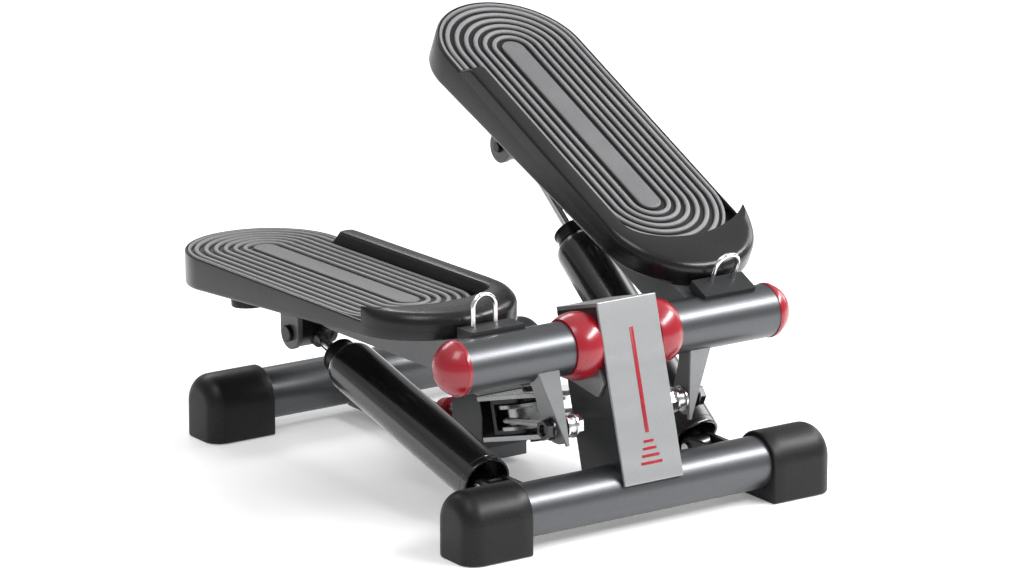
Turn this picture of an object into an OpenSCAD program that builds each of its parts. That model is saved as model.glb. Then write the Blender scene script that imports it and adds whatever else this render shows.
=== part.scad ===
// Mini stepper: two pedals on one crossbar, each damped by a hydraulic cylinder and
// linked by a steel rope round a pulley, so that one rises as the other goes down.
// +Z is up, the column and its face plate are at -Y, +X is the right-hand pedal.
// The origin is on the floor, under the middle of the whole machine.

/* [Base frame] */
// Outer diameter of every round tube
tube_d = 38; // [32:1:42]
// Wall of every round tube
tube_wall = 2; // [1.5:0.5:3]
// Distance between the two floor tubes, axis to axis
wheelbase = 341.5; // [320:0.5:380]
// Height of the floor tubes' axes
floor_tube_z = 25.6; // [24:0.1:30]
// Width of the front base over its feet
front_width = 310.6; // [300:0.2:350]
// Width of the rear base over its feet
rear_width = 299.2; // [290:0.2:340]
// Length of one foot cap
foot_length = 52.8; // [46:0.2:66]
// Width of one foot cap, front to back
foot_width = 44.8; // [44:0.2:52]

/* [Column] */
// Backward lean of the column from vertical
column_lean = 15.85; // [10:0.05:20]
// Width of the column
column_w = 46.4; // [40:0.2:52]
// Depth of the column, front to back
column_depth = 51; // [46:0.5:56]
// Sheet thickness of the column
column_wall = 3; // [2:0.5:4]
// Width of the face plate
face_plate_w = 49.6; // [46:0.2:56]
// Length of the face plate
face_plate_h = 128; // [120:1:140]
// Thickness of the face plate
face_plate_t = 2.4; // [2:0.2:4]

/* [Crossbar] */
// Crossbar axis, behind the front floor tube's axis
axle_setback = 29.1; // [26:0.1:34]
// Crossbar axis above the floor
axle_z = 125.3; // [120:0.1:130]
// Diameter of the solid axle
axle_d = 20; // [16:1:24]
// Inner end of each pivot tube, from the middle
pivot_inner_x = 44.6; // [42:0.1:50]
// Outer end of each pivot tube, from the middle
pivot_outer_x = 130.6; // [125:0.1:140]
// Largest diameter of the inner red collars
collar_d = 48; // [42:1:52]
// How far the outer red caps stand out past the pivot tubes
cap_reach = 17; // [12:0.5:20]

/* [Pedals] */
// Angle of the lowered pedal, tail up positive
pedal_low = -1; // [-3:0.5:0]
// Angle of the raised pedal, tail up positive
pedal_high = 25; // [20:0.5:28]
// Middle of each pedal from the middle of the machine
pedal_x = 96.9; // [92:0.1:104]
// Width of a pedal
pedal_w = 118; // [110:1:126]
// Tail of a pedal behind the crossbar axis
pedal_reach = 359.6; // [340:0.2:380]
// Centre of the rounded toe behind the crossbar axis
toe_centre = 81; // [76:1:90]
// Top of the mat above the crossbar axis
mat_top = 20.3; // [20:0.1:26]
// Taper of the tray's underside
tray_taper = 3.35; // [2:0.05:4]
// Height of the side wall and toe lip above the mat
lip_rise = 10; // [8:0.5:14]

/* [Cylinders] */
// Diameter of a cylinder barrel
barrel_d = 38; // [34:1:40]
// Cylinder axis from the middle of the machine
cylinder_x = 88.6; // [86:0.1:92]
// Lower pivot behind the front floor tube's axis
lower_pivot_setback = 48.1; // [46:0.1:52]
// Lower pivot above the floor
lower_pivot_z = 27.7; // [26:0.1:32]
// Upper pivot from the crossbar axis, along the pedal
clevis_s = 256; // [250:1:262]
// Upper pivot below the crossbar axis, square to the pedal
clevis_drop = 33.8; // [32:0.1:36]
// Diameter of the polished rod
rod_d = 8; // [7:0.5:10]

/* [Rope and pulley] */
// Rope diameter
rope_d = 4; // [3:0.5:5]
// Pulley centre behind the face plate, along the pulley's own plane
pulley_back = 136; // [130:1:140]
// Pulley centre along the column from the face plate's lower edge
pulley_up = 52.4; // [50:0.1:56]
// Pulley flange diameter
pulley_d = 50; // [46:1:54]
// Rope bolt from the crossbar axis
rope_bolt_r = 52.9; // [50:0.1:60]
// Rope bolt forward of straight down, in the pedal's own frame
rope_bolt_angle = 23.8; // [20:0.1:30]

/* [Hidden] */
$fn = 64;

eps = 0.01;
tube_r = tube_d / 2;
foot_r = foot_width / 2;
foot_cover = 8;     // thickness of a foot's closed end
gap = 0.4;          // between faces that turn or slide past each other
fit = 0.05;         // radial running clearance of a bush

// Front to back, the origin is midway between the front feet and the lowered pedal's tail
tail_back = axle_setback + pedal_reach * cos(pedal_low) - mat_top * sin(pedal_low);
front_y = foot_r - (foot_r + tail_back) / 2;
rear_y = front_y + wheelbase;
axle_y = front_y + axle_setback;
lower_pivot_y = front_y + lower_pivot_setback;

// The face plate's lower edge, the origin of the column's own frame
plate_foot_y = front_y - 20.1;
plate_foot_z = 34.9;
axle_up = (axle_y - plate_foot_y) * sin(column_lean) + (axle_z - plate_foot_z) * cos(column_lean);
axle_in = (axle_y - plate_foot_y) * cos(column_lean) - (axle_z - plate_foot_z) * sin(column_lean);
tube_up = (front_y - plate_foot_y) * sin(column_lean)
    + (floor_tube_z - plate_foot_z) * cos(column_lean);
tube_in = (front_y - plate_foot_y) * cos(column_lean)
    - (floor_tube_z - plate_foot_z) * sin(column_lean);

// Pedals, in the pedal's own frame: S runs back along the mat, H square to it
pedal_r = pedal_w / 2;
tail_centre = pedal_reach - pedal_r;
tray_floor_at = 20;   // where the tray's underside is at its given height
tray_floor_h = 12.5;
wall_w = 13;          // inner side wall
wall_back = 283;
lip_edge = 59;        // rear edge of the toe lip in the middle
lip_curve_r = 90;
rim_w = 2.2;
mat_t = 6;
ridge_rise = 1.4;
ridge_count = 6;
ridge_pitch = 7.1;
ridge_w = 3.7;
ridge_front = 113;    // centre of the ridges' front arcs
first_ridge_r = 52.4;
arm_half = 22.5;      // half width of the channel under the tray
arm_t = 2.5;
arm_back = 285;
arm_low = -17;
arm_x = cylinder_x - pedal_x;
tray_screw_s = [62, 150, 238];
tray_screw_x = [arm_x - 13, arm_x + 13];

// Cylinders
barrel_r = barrel_d / 2;
barrel_start = 7.5;   // along the axis from the lower pivot
shoulder_at = 183.5;
shoulder_end = 193;
gland_end = 203;
gland_r = 12.5;
shroud_depth = 17;
pin_r = 4;
eye_r = 11;
eye_bore_r = 6;       // the open pivot: wide enough for the linear coupling's error
eye_half = 13;
ear_outer = 17.3;
ear_t = 4;

// Pulley stack, measured from the pulley's mid-plane
pulley_half = 9;
fork_in = 9.5;
fork_t = 3;
centre_plate_in = 13;
centre_plate_t = 3.5;
centre_plate_half = 22;
centre_plate_end = 175;
rope_level = -2.5;
rope_wrap_r = 21.5;
wrap_start = 12;      // the rope leaves the pulley this far behind its sides
rope_bolt_x = 58.5;
lever_lean = 19;      // the lever's front face leans forward from its top to its tip
lever_face = -12.5;
lever_top = -8;
lever_tip = -66.7;
lever_inner = [57, 61];   // inner and outer edges of the front face, at its top and tip
lever_outer = [77, 63.5];
screw_up = 60;
knob_back = 245;
block_y = [front_y + 163, front_y + 202];
beam_z = [4.5, 14.5];   // its top stays below the adjuster's knob

steel = [0.45, 0.46, 0.48];
dark_steel = [0.22, 0.23, 0.24];
silver = [0.7, 0.71, 0.72];
red = [0.66, 0.1, 0.16];
black = [0.08, 0.08, 0.09];
rubber = [0.3, 0.3, 0.3];
chrome = [0.85, 0.85, 0.87];

// ---- Frames of reference ----

module column_frame() {
    translate([0, plate_foot_y, plate_foot_z]) rotate([-column_lean, 0, 0]) children();
}

module pulley_frame() {
    column_frame() translate([0, pulley_back, pulley_up]) children();
}

module on_side(side) {
    if (side > 0) {
        children();
    } else {
        mirror([1, 0, 0]) children();
    }
}

module pedal_frame(side) {
    angle = side > 0 ? pedal_high : pedal_low;
    translate([0, axle_y, axle_z]) rotate([angle, 0, 0]) on_side(side) children();
}

// S and H of the tray's underside plane
module tray_floor_frame() {
    translate([pedal_x, tray_floor_at, tray_floor_h]) rotate([-tray_taper, 0, 0]) children();
}

function clevis_angle(side) = side > 0 ? pedal_high : pedal_low;
function clevis_y(side) = axle_y + clevis_s * cos(clevis_angle(side))
    + clevis_drop * sin(clevis_angle(side));
function clevis_z(side) = axle_z + clevis_s * sin(clevis_angle(side))
    - clevis_drop * cos(clevis_angle(side));
function cylinder_tilt(side) =
    atan2(clevis_z(side) - lower_pivot_z, clevis_y(side) - lower_pivot_y);
function cylinder_span(side) =
    norm([clevis_y(side) - lower_pivot_y, clevis_z(side) - lower_pivot_z]);

// Y runs along the cylinder from its lower pivot
module cylinder_frame(side) {
    translate([0, lower_pivot_y, lower_pivot_z]) rotate([cylinder_tilt(side), 0, 0])
        on_side(side) translate([cylinder_x, 0, 0]) children();
}

// ---- Shared shapes ----

module x_cylinder(r, x0, x1) {
    translate([x0, 0, 0]) rotate([0, 90, 0]) cylinder(r = r, h = x1 - x0);
}

module y_cylinder(r, y0, y1) {
    translate([0, y0, 0]) rotate([-90, 0, 0]) cylinder(r = r, h = y1 - y0);
}

module block(x, y, z) {
    translate([x[0], y[0], z[0]]) cube([x[1] - x[0], y[1] - y[0], z[1] - z[0]]);
}

// A rounded bar outline from s0 to s1, each the centre of an end arc
module stadium(r, s0, s1) {
    translate([0, s0]) circle(r = r);
    translate([0, s1]) circle(r = r);
    translate([-r, s0]) square([2 * r, s1 - s0]);
}

module hex_nut(r, h) {
    cylinder(r = r, h = h, $fn = 6);
}

// ---- Base frame ----

module floor_tube(y, half) {
    translate([0, y, floor_tube_z]) difference() {
        x_cylinder(tube_r, -half, half);
        x_cylinder(tube_r - tube_wall, -half - 1, half + 1);
    }
}

module front_floor_tube() {
    color(steel) floor_tube(front_y, front_width / 2 - foot_cover);
}

module rear_floor_tube() {
    color(steel) floor_tube(rear_y, rear_width / 2 - foot_cover);
}

// Bar from 0 to length whose far end has its two corners rounded
module rounded_bar(length, half, corner) {
    square_end = length - corner;
    translate([0, -half]) square([square_end, 2 * half]);
    translate([0, corner - half]) square([length, 2 * (half - corner)]);
    for (m = [-1, 1]) {
        translate([square_end, m * (half - corner)]) circle(r = corner);
    }
}

// Foot cap: an arch over the tube, rounded at its outer end and flat on the floor
module foot(side, y, width) {
    top = floor_tube_z + foot_r;
    plan_corner = 13;
    crown_corner = 12;
    translate([0, y, 0]) on_side(side) translate([width / 2 - foot_length, 0, 0]) difference() {
        intersection() {
            linear_extrude(top) rounded_bar(foot_length, foot_r, plan_corner);
            union() {
                block([0, foot_length], [-foot_r, foot_r], [0, floor_tube_z]);
                translate([0, 0, floor_tube_z]) x_cylinder(foot_r, 0, foot_length);
            }
            rotate([90, 0, 0]) translate([0, 0, -foot_r])
                linear_extrude(2 * foot_r) intersection() {
                    rounded_bar(foot_length, top, crown_corner);
                    square([foot_length, top]);
                }
        }
        translate([0, 0, floor_tube_z]) x_cylinder(tube_r, -1, foot_length - foot_cover);
    }
}

module front_left_foot() { color(black) foot(-1, front_y, front_width); }
module front_right_foot() { color(black) foot(1, front_y, front_width); }
module rear_left_foot() { color(black) foot(-1, rear_y, rear_width); }
module rear_right_foot() { color(black) foot(1, rear_y, rear_width); }

// ---- Column ----

module column() {
    color(dark_steel) column_frame() difference() {
        block([-column_w / 2, column_w / 2], [face_plate_t, face_plate_t + column_depth],
            [0, face_plate_h - 3]);
        block([-column_w / 2 + column_wall, column_w / 2 - column_wall],
            [face_plate_t + column_wall, face_plate_t + column_depth + 1],
            [-1, face_plate_h]);
        translate([0, tube_in, tube_up]) x_cylinder(tube_r, -column_w, column_w);
        translate([0, axle_in, axle_up]) x_cylinder(axle_d / 2, -column_w, column_w);
        // lower rear corner, cut along the top of the floor tube
        translate([0, tube_in, tube_up]) rotate([column_lean, 0, 0])
            block([-column_w, column_w], [0, column_depth], [-2 * tube_r, 5]);
    }
}

module column_face_plate() {
    color(silver) column_frame() difference() {
        block([-face_plate_w / 2, face_plate_w / 2], [0, face_plate_t], [0, face_plate_h]);
        translate([0, tube_in, tube_up]) x_cylinder(tube_r, -column_w, column_w);
    }
}

module column_top_cap() {
    color(steel) column_frame()
        block([-column_w / 2, column_w / 2], [face_plate_t, face_plate_t + column_depth],
            [face_plate_h - 3, face_plate_h]);
}

// ---- Crossbar ----

module crossbar_axle() {
    nut_h = 7;
    color(steel) translate([0, axle_y, axle_z]) {
        x_cylinder(axle_d / 2, -pivot_outer_x + 4, pivot_outer_x - 4);
        for (side = [-1, 1]) on_side(side) {
            translate([pivot_outer_x - 3.5, 0, 0]) rotate([0, 90, 0]) difference() {
                hex_nut(13, nut_h);
                translate([0, 0, -1]) cylinder(r = 6, h = nut_h + 2);
            }
            x_cylinder(6, pivot_outer_x - 4, pivot_outer_x + 5);
        }
    }
}

// Bulging collar between the column and a pivot tube
module inner_collar(side) {
    x0 = column_w / 2;
    x1 = pivot_inner_x - gap;
    sphere_r = collar_d / 2;
    color(red) translate([0, axle_y, axle_z]) on_side(side) difference() {
        intersection() {
            translate([x0 + 8.5, 0, 0]) sphere(r = sphere_r);
            x_cylinder(sphere_r, x0, x1);
        }
        x_cylinder(axle_d / 2, 0, pivot_outer_x);
        translate([0, -axle_y, -axle_z]) column_frame()
            block([-face_plate_w / 2 - gap, face_plate_w / 2 + gap], [-5, face_plate_t + gap],
                [0, face_plate_h]);
    }
}

module left_inner_collar() { inner_collar(-1); }
module right_inner_collar() { inner_collar(1); }

// ---- Centre frame, pulley and rope adjuster ----

module centre_plates() {
    front_in = face_plate_t + column_wall;
    color(steel) column_frame() difference() {
        for (m = [-1, 1]) {
            mid = m * (centre_plate_in + centre_plate_t / 2);
            translate([0, 0, pulley_up + mid])
                block([-centre_plate_half, centre_plate_half],
                    [face_plate_t + column_depth, centre_plate_end],
                    [-centre_plate_t / 2, centre_plate_t / 2]);
            translate([0, 0, pulley_up + mid])
                block([-column_w / 2 + column_wall, column_w / 2 - column_wall],
                    [front_in, face_plate_t + column_depth],
                    [-centre_plate_t / 2, centre_plate_t / 2]);
        }
        // slots that the pulley's pin slides in
        translate([0, pulley_back, pulley_up - 30]) linear_extrude(60) stadium(4.3, -4, 4);
    }
}

module adjuster_block() {
    color(dark_steel) difference() {
        block([-20, 20], block_y, [beam_z[1], 54]);
        column_frame() block([-30, 30], [100, centre_plate_end], [0, 120]);
        column_frame() translate([0, 0, screw_up]) y_cylinder(4.3, 150, 240);
    }
}

module rear_beam() {
    wall = 2;
    color(steel) difference() {
        block([-20, 20], [block_y[0] + 2, rear_y], beam_z);
        block([-20 + wall, 20 - wall], [block_y[0] + 2 + wall, rear_y + 1],
            [beam_z[0] + wall, beam_z[1] - wall]);
        translate([0, rear_y, floor_tube_z]) x_cylinder(tube_r, -30, 30);
    }
}

// U-shaped carriage with the pulley's pin, drawn back by the adjuster screw
module pulley_fork() {
    web_in = 27.5;
    color(dark_steel) {
        pulley_frame() difference() {
            union() {
                for (m = [-1, 1]) {
                    translate([0, 0, m * (fork_in + fork_t / 2) - fork_t / 2])
                        linear_extrude(fork_t) {
                            circle(r = 16);
                            translate([-16, 0]) square([32, web_in]);
                        }
                }
                block([-16, 16], [web_in, web_in + 4], [-fork_in - fork_t, fork_in + fork_t]);
            }
            translate([0, 0, -20]) cylinder(r = 4, h = 40);
            translate([0, 0, screw_up - pulley_up]) y_cylinder(4 + fit, web_in - 4, web_in + 5);
        }
        pulley_frame() translate([0, 0, -18.5]) cylinder(r = 4, h = 37);
        for (m = [-1, 1]) {
            pulley_frame() translate([0, 0, m > 0 ? 16.9 : -19.9]) cylinder(r = 6.5, h = 3);
        }
    }
}

module rope_pulley() {
    groove_r = rope_wrap_r - rope_d / 2 - 0.3;
    color(black) pulley_frame() difference() {
        rotate_extrude() polygon([
            [4 + fit, -pulley_half], [pulley_d / 2, -pulley_half],
            [pulley_d / 2, -pulley_half + 2.5], [groove_r, -pulley_half + 3.5],
            [groove_r, pulley_half - 3.5], [pulley_d / 2, pulley_half - 2.5],
            [pulley_d / 2, pulley_half], [4 + fit, pulley_half]
        ]);
    }
}

// Half turn of rope round the back of the pulley
module rope_wrap() {
    color(chrome) pulley_frame() translate([0, 0, rope_level])
        rotate([0, 0, wrap_start]) rotate_extrude(angle = 180 - 2 * wrap_start)
            translate([rope_wrap_r, 0]) circle(r = rope_d / 2);
}

function rope_bolt_y(side) = axle_y
    - rope_bolt_r * sin(rope_bolt_angle - clevis_angle(side));
function rope_bolt_z(side) = axle_z
    - rope_bolt_r * cos(rope_bolt_angle - clevis_angle(side));

// Straight run from the pulley to the rope bolt
module rope_run(side) {
    rope_eye_x = rope_bolt_x - 3.75;
    back = pulley_back + rope_wrap_r * sin(wrap_start);
    up = pulley_up + rope_level;
    start = [
        side * rope_wrap_r * cos(wrap_start),
        plate_foot_y + back * cos(column_lean) + up * sin(column_lean),
        plate_foot_z - back * sin(column_lean) + up * cos(column_lean)
    ];
    finish = [side * rope_eye_x, rope_bolt_y(side), rope_bolt_z(side)];
    run = finish - start;
    length = norm(run);
    start_gap = 0.6;
    end_gap = 10.6;   // clear of the washers beside the eye
    color(chrome) translate(start)
        rotate([0, acos(run[2] / length), atan2(run[1], run[0])])
            translate([0, 0, start_gap])
                cylinder(r = rope_d / 2, h = length - start_gap - end_gap);
}

module left_rope() { rope_run(-1); }
module right_rope() { rope_run(1); }

// Domed red knob on the adjuster's screw, which turns in the pulley fork
module adjuster_knob() {
    knob_r = 8;
    screw_end = pulley_back + pulley_d / 2 + 3.5;   // clear of the pulley at the end of its travel
    color(red) column_frame() translate([0, 0, screw_up]) {
        y_cylinder(4, screw_end, knob_back);
        y_cylinder(7, 216, 221);
        y_cylinder(knob_r, knob_back, knob_back + 8);
        translate([0, knob_back + 8, 0]) sphere(r = knob_r);
    }
}

// ---- Cylinder brackets on the front tube ----

bracket_in = 7;
bracket_t = 4;

module cylinder_bracket(side) {
    color(dark_steel) translate([0, front_y, 0]) on_side(side) difference() {
        for (x = [cylinder_x - bracket_in - bracket_t, cylinder_x + bracket_in]) {
            translate([x, 0, lower_pivot_z]) {
                block([0, bracket_t], [10, lower_pivot_setback], [-8, 8]);
                translate([0, lower_pivot_setback, 0]) x_cylinder(8, 0, bracket_t);
            }
        }
        translate([0, 0, floor_tube_z]) x_cylinder(tube_r, 0, front_width);
        translate([0, lower_pivot_setback, lower_pivot_z])
            x_cylinder(pin_r, 0, front_width);
    }
}

module left_cylinder_bracket() { cylinder_bracket(-1); }
module right_cylinder_bracket() { cylinder_bracket(1); }

module cylinder_pins() {
    head_r = 5.5;
    reach = bracket_in + bracket_t;
    color(chrome) translate([0, lower_pivot_y, lower_pivot_z]) for (side = [-1, 1]) on_side(side) {
        x_cylinder(pin_r, cylinder_x - reach - 2, cylinder_x + reach);
        x_cylinder(head_r, cylinder_x + reach, cylinder_x + reach + 2);
    }
}

// ---- Pedal pivots ----

module pivot_tube(side) {
    color(steel) pedal_frame(side) difference() {
        x_cylinder(tube_r, pivot_inner_x, pivot_outer_x);
        x_cylinder(tube_r - tube_wall, pivot_inner_x - 1, pivot_outer_x + 1);
    }
}

module bushes(side) {
    length = 18;
    color(black) pedal_frame(side)
        for (x = [pivot_inner_x, pivot_outer_x - length - 8]) {
            difference() {
                x_cylinder(tube_r - tube_wall, x, x + length);
                x_cylinder(axle_d / 2 + fit, x - 1, x + length + 1);
            }
        }
}

// Domed cap that closes a pivot tube's outer end
module end_cap(side) {
    rim_r = tube_r + 0.6;
    rim = 3;
    base_r = rim_r - 0.5;
    dome_h = cap_reach - rim;
    dome_r = (base_r * base_r + dome_h * dome_h) / (2 * dome_h);
    plug_r = tube_r - tube_wall;
    color(red) pedal_frame(side) translate([pivot_outer_x, 0, 0]) rotate([0, 90, 0])
        rotate_extrude() difference() {
            union() {
                square([rim_r, rim]);
                intersection() {
                    translate([0, cap_reach - dome_r]) circle(r = dome_r);
                    translate([0, rim]) square([2 * rim_r, cap_reach]);
                }
                translate([0, -6]) square([plug_r, 6]);
            }
            translate([-1, -7]) square([15.5, 15]);
        }
}

// One cheek of the lever, from its edge at the top to its edge at the tip
module lever_cheek(edge, thickness, bolt_y, bolt_z) {
    slope = atan2(edge[0] - edge[1], lever_top - lever_tip);
    translate([edge[0], 0, lever_top]) rotate([0, slope, 0]) translate([0, 0, -lever_top])
        rotate([0, 90, 0]) linear_extrude(thickness) intersection() {
            union() {
                polygon([
                    [-lever_top, -30], [-lever_top, 1], [27, 1],
                    [-bolt_z, bolt_y + 12], [-bolt_z, -30]
                ]);
                translate([-bolt_z, bolt_y]) circle(r = 12);
            }
            translate([-20, lever_face + 0.5]) square([120, 60]);
        }
}

// Lever under the pivot tube that pulls the rope: a tapering face with two folded cheeks
module rope_arm(side) {
    t = 2.5;
    turn = lever_lean - rope_bolt_angle;
    bolt_y = rope_bolt_r * sin(turn);
    bolt_z = -rope_bolt_r * cos(turn);
    color(dark_steel) pedal_frame(side) rotate([-lever_lean, 0, 0]) difference() {
        union() {
            translate([0, lever_face + t, 0]) rotate([90, 0, 0]) linear_extrude(t) polygon([
                [lever_inner[0] + 0.6, lever_top - 0.4], [lever_outer[0] - 0.6, lever_top - 0.4],
                [lever_outer[1] - 0.3, lever_tip], [lever_inner[1] + 0.3, lever_tip]
            ]);
            lever_cheek(lever_inner, t, bolt_y, bolt_z);
            lever_cheek([lever_outer[0] - t, lever_outer[1] - t], t, bolt_y, bolt_z);
        }
        x_cylinder(tube_r, 0, pivot_outer_x);
        translate([0, bolt_y, bolt_z]) x_cylinder(4, 0, pivot_outer_x);
    }
}

// Bolt through both cheeks, with the rope's eye on its inner end
module rope_bolt(side) {
    bolt_s = -rope_bolt_r * sin(rope_bolt_angle);
    bolt_h = -rope_bolt_r * cos(rope_bolt_angle);
    eye = [rope_bolt_x - 6.5, rope_bolt_x - 1];
    head = 70.5;
    color(chrome) pedal_frame(side) translate([0, bolt_s, bolt_h]) {
        x_cylinder(4, eye[0] - 8, head + 3);
        for (w = [[eye[0] - 1.6, 9], [eye[1], 9], [head - 1.6, 8]]) {
            difference() {
                x_cylinder(w[1], w[0], w[0] + 1.6);
                x_cylinder(4, w[0] - 1, w[0] + 3);
            }
        }
        difference() {
            x_cylinder(7, eye[0], eye[1]);
            x_cylinder(4, eye[0] - 1, eye[1] + 1);
        }
        for (x = [eye[0] - 6.6, head]) {
            translate([x, 0, 0]) rotate([0, 90, 0]) difference() {
                hex_nut(7.5, 5);
                translate([0, 0, -1]) cylinder(r = 4, h = 7);
            }
        }
    }
}

// ---- Pedal platform ----

// Folded channel under the tray, welded to the pivot tube
module pedal_arm(side) {
    taper_from = 190;
    color(dark_steel) pedal_frame(side) difference() {
        union() {
            tray_floor_frame() translate([arm_x, 0, 0])
                block([-arm_half, arm_half], [-12, arm_back - tray_floor_at], [-arm_t, 0]);
            for (x = [-arm_half, arm_half - arm_t]) {
                translate([cylinder_x, 0, 0]) block([x, x + arm_t], [0, arm_back], [arm_low, 14]);
            }
        }
        tray_floor_frame() block([-80, 80], [-30, arm_back], [0, 40]);
        // the webs grow shallower towards the tail
        translate([cylinder_x, taper_from, arm_low]) rotate([6, 0, 0])
            block([-40, 40], [0, 120], [-20, 0]);
        x_cylinder(tube_r, 0, pivot_outer_x + 20);
        tray_floor_frame() for (s = tray_screw_s, x = tray_screw_x) {
            translate([x, s - tray_floor_at, -10]) cylinder(r = 2.5, h = 20);
        }
    }
}

module tray_outline(r) {
    stadium(r, toe_centre, tail_centre);
}

// Plan of the raised side wall and toe lip; the wall is on the machine's inner side
module lip_plan() {
    intersection() {
        tray_outline(pedal_r);
        union() {
            difference() {
                translate([-pedal_r, 0]) square([pedal_w, toe_centre + 30]);
                translate([0, lip_edge + lip_curve_r]) circle(r = lip_curve_r);
            }
            translate([-pedal_r, toe_centre]) square([wall_w, wall_back - toe_centre]);
        }
    }
}

module mat_plan(clear) {
    difference() {
        tray_outline(pedal_r - rim_w - clear);
        lip_plan();
        translate([-pedal_r, toe_centre - 20])
            square([wall_w + clear, wall_back + clear - toe_centre + 20]);
    }
}

// Moulded tray: a rim round the mat, a raised wall and toe lip, and ribs underneath
module tray(side) {
    wall = 3;
    rib = 2;
    recess_h = mat_top - mat_t;
    color(black) pedal_frame(side) difference() {
        translate([pedal_x, 0, -10]) linear_extrude(mat_top + 10) tray_outline(pedal_r);
        translate([pedal_x, 0, recess_h]) linear_extrude(mat_t + 1) mat_plan(0);
        translate([pedal_x, 0, -11]) linear_extrude(recess_h - wall + 11) difference() {
            tray_outline(pedal_r - wall);
            for (x = [arm_x - arm_half, arm_x - 1, arm_x + arm_half - rib, 36]) {
                translate([x, 0]) square([rib, pedal_reach]);
            }
            for (s = [56, 94, 132, 170, 208, 246, 284, 322]) {
                translate([-pedal_r, s]) square([pedal_w, rib]);
            }
            for (s = tray_screw_s, x = tray_screw_x) {
                translate([x, s]) circle(r = 6);
            }
        }
        tray_floor_frame() block([-80, 80], [-40, 360], [-80, 0]);
        tray_floor_frame() for (s = tray_screw_s, x = tray_screw_x) {
            translate([x, s - tray_floor_at, -1]) cylinder(r = 2.5, h = 7);
        }
    }
    color(black) pedal_frame(side) translate([pedal_x, 0, mat_top])
        linear_extrude(lip_rise) lip_plan();
}

module mat(side) {
    color(rubber) pedal_frame(side) translate([pedal_x, 0, mat_top - mat_t]) {
        linear_extrude(mat_t - ridge_rise) mat_plan(0);
        translate([0, 0, mat_t - ridge_rise - eps]) linear_extrude(ridge_rise + eps)
            intersection() {
                mat_plan(0);
                union() {
                    for (i = [0 : ridge_count - 1]) {
                        r = first_ridge_r - i * ridge_pitch;
                        difference() {
                            stadium(r, ridge_front, tail_centre);
                            stadium(r - ridge_w, ridge_front, tail_centre);
                        }
                    }
                    difference() {
                        translate([-100, 0]) square([200, 400]);
                        stadium(first_ridge_r + 2, ridge_front, tail_centre);
                    }
                    stadium(9.5, ridge_front, tail_centre);
                }
            }
    }
}

// Round rubber pad under the tray's tail
module bumper(side) {
    color(rubber) pedal_frame(side) tray_floor_frame()
        translate([36, 246, -9]) cylinder(r = 13.5, h = 9);
}

// D-shaped loop for an exercise band, on a small plate welded to the pivot tube
module band_ring(side) {
    wire_r = 1.7;
    bend_r = 9.2;
    leg = 12;
    plate_h = tube_r;
    ring_s = 16.5;
    color(chrome) pedal_frame(side) translate([pedal_x, 0, 0]) {
        difference() {
            block([-24, 20], [2, 20.5], [plate_h - 4, plate_h + 3]);
            translate([-pedal_x, 0, 0]) x_cylinder(tube_r, 0, 200);
            translate([-pedal_x, 0, 0]) tray_floor_frame() block([-80, 80], [-30, 100], [-80, 0.3]);
        }
        translate([0, ring_s, plate_h + 3]) {
            for (x = [-bend_r, bend_r]) {
                translate([x, 0, -1]) cylinder(r = wire_r, h = leg + 1);
            }
            translate([0, 0, leg]) rotate([90, 0, 0])
                rotate_extrude(angle = 180) translate([bend_r, 0]) circle(r = wire_r);
        }
    }
}

module clevis(side) {
    ear_r = 12;
    color(steel) pedal_frame(side) translate([cylinder_x, clevis_s, 0]) difference() {
        union() {
            for (x = [-ear_outer, ear_outer - ear_t]) {
                block([x, x + ear_t], [-ear_r, ear_r], [-clevis_drop, 4]);
                translate([0, 0, -clevis_drop]) x_cylinder(ear_r, x, x + ear_t);
            }
            block([-ear_outer, ear_outer], [-ear_r, ear_r], [-9, 4]);
        }
        translate([0, 0, -clevis_drop]) x_cylinder(pin_r, -50, 50);
        translate([-cylinder_x, -clevis_s, 0]) tray_floor_frame()
            block([-80, 80], [-40, 360], [-arm_t, 80]);
    }
}

module clevis_pin(side) {
    color(chrome) pedal_frame(side) translate([cylinder_x, clevis_s, -clevis_drop]) {
        x_cylinder(pin_r, -ear_outer - 3, ear_outer);
        x_cylinder(6, ear_outer, ear_outer + 3.5);
    }
}

module tray_screws(side) {
    color(chrome) pedal_frame(side) tray_floor_frame()
        for (s = tray_screw_s, x = tray_screw_x) {
            translate([x, s - tray_floor_at, 0]) {
                translate([0, 0, -arm_t - 3]) cylinder(r = 4.5, h = 3);
                translate([0, 0, -arm_t]) cylinder(r = 2.5, h = arm_t + 4);
            }
        }
}

// ---- Hydraulic cylinders ----

// Closed tube with an open skirt at its foot and an eye on the lower pivot
module barrel(side) {
    floor_at = barrel_start + shroud_depth;
    eye_w = 6.5;
    bore_r = 14.5;
    mouth_r = gland_r - 2;
    color(black) cylinder_frame(side) difference() {
        union() {
            rotate([-90, 0, 0]) rotate_extrude() polygon([
                [0, floor_at], [barrel_r - 2, floor_at], [barrel_r - 2, barrel_start],
                [barrel_r, barrel_start], [barrel_r, shoulder_at], [barrel_r - 1.2, shoulder_at + 5],
                [barrel_r - 4, shoulder_end], [mouth_r, shoulder_end], [mouth_r, shoulder_at],
                [bore_r, shoulder_at - 2], [bore_r, floor_at + 6], [0, floor_at + 6]
            ]);
            y_cylinder(6, 0, floor_at + 3);
            x_cylinder(8, -eye_w, eye_w);
        }
        x_cylinder(pin_r + fit, -20, 20);
    }
}

// Seal housing that the rod slides in, screwed into the barrel's mouth
module gland(side) {
    color(chrome) cylinder_frame(side) difference() {
        union() {
            y_cylinder(gland_r - 2, shoulder_at - 1, shoulder_end);
            y_cylinder(gland_r, shoulder_end, gland_end);
            for (y = [shoulder_end, gland_end - 2]) {
                y_cylinder(gland_r + 0.8, y, y + 1.6);
            }
        }
        y_cylinder(rod_d / 2 + fit, 0, gland_end + 10);
    }
}

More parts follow.
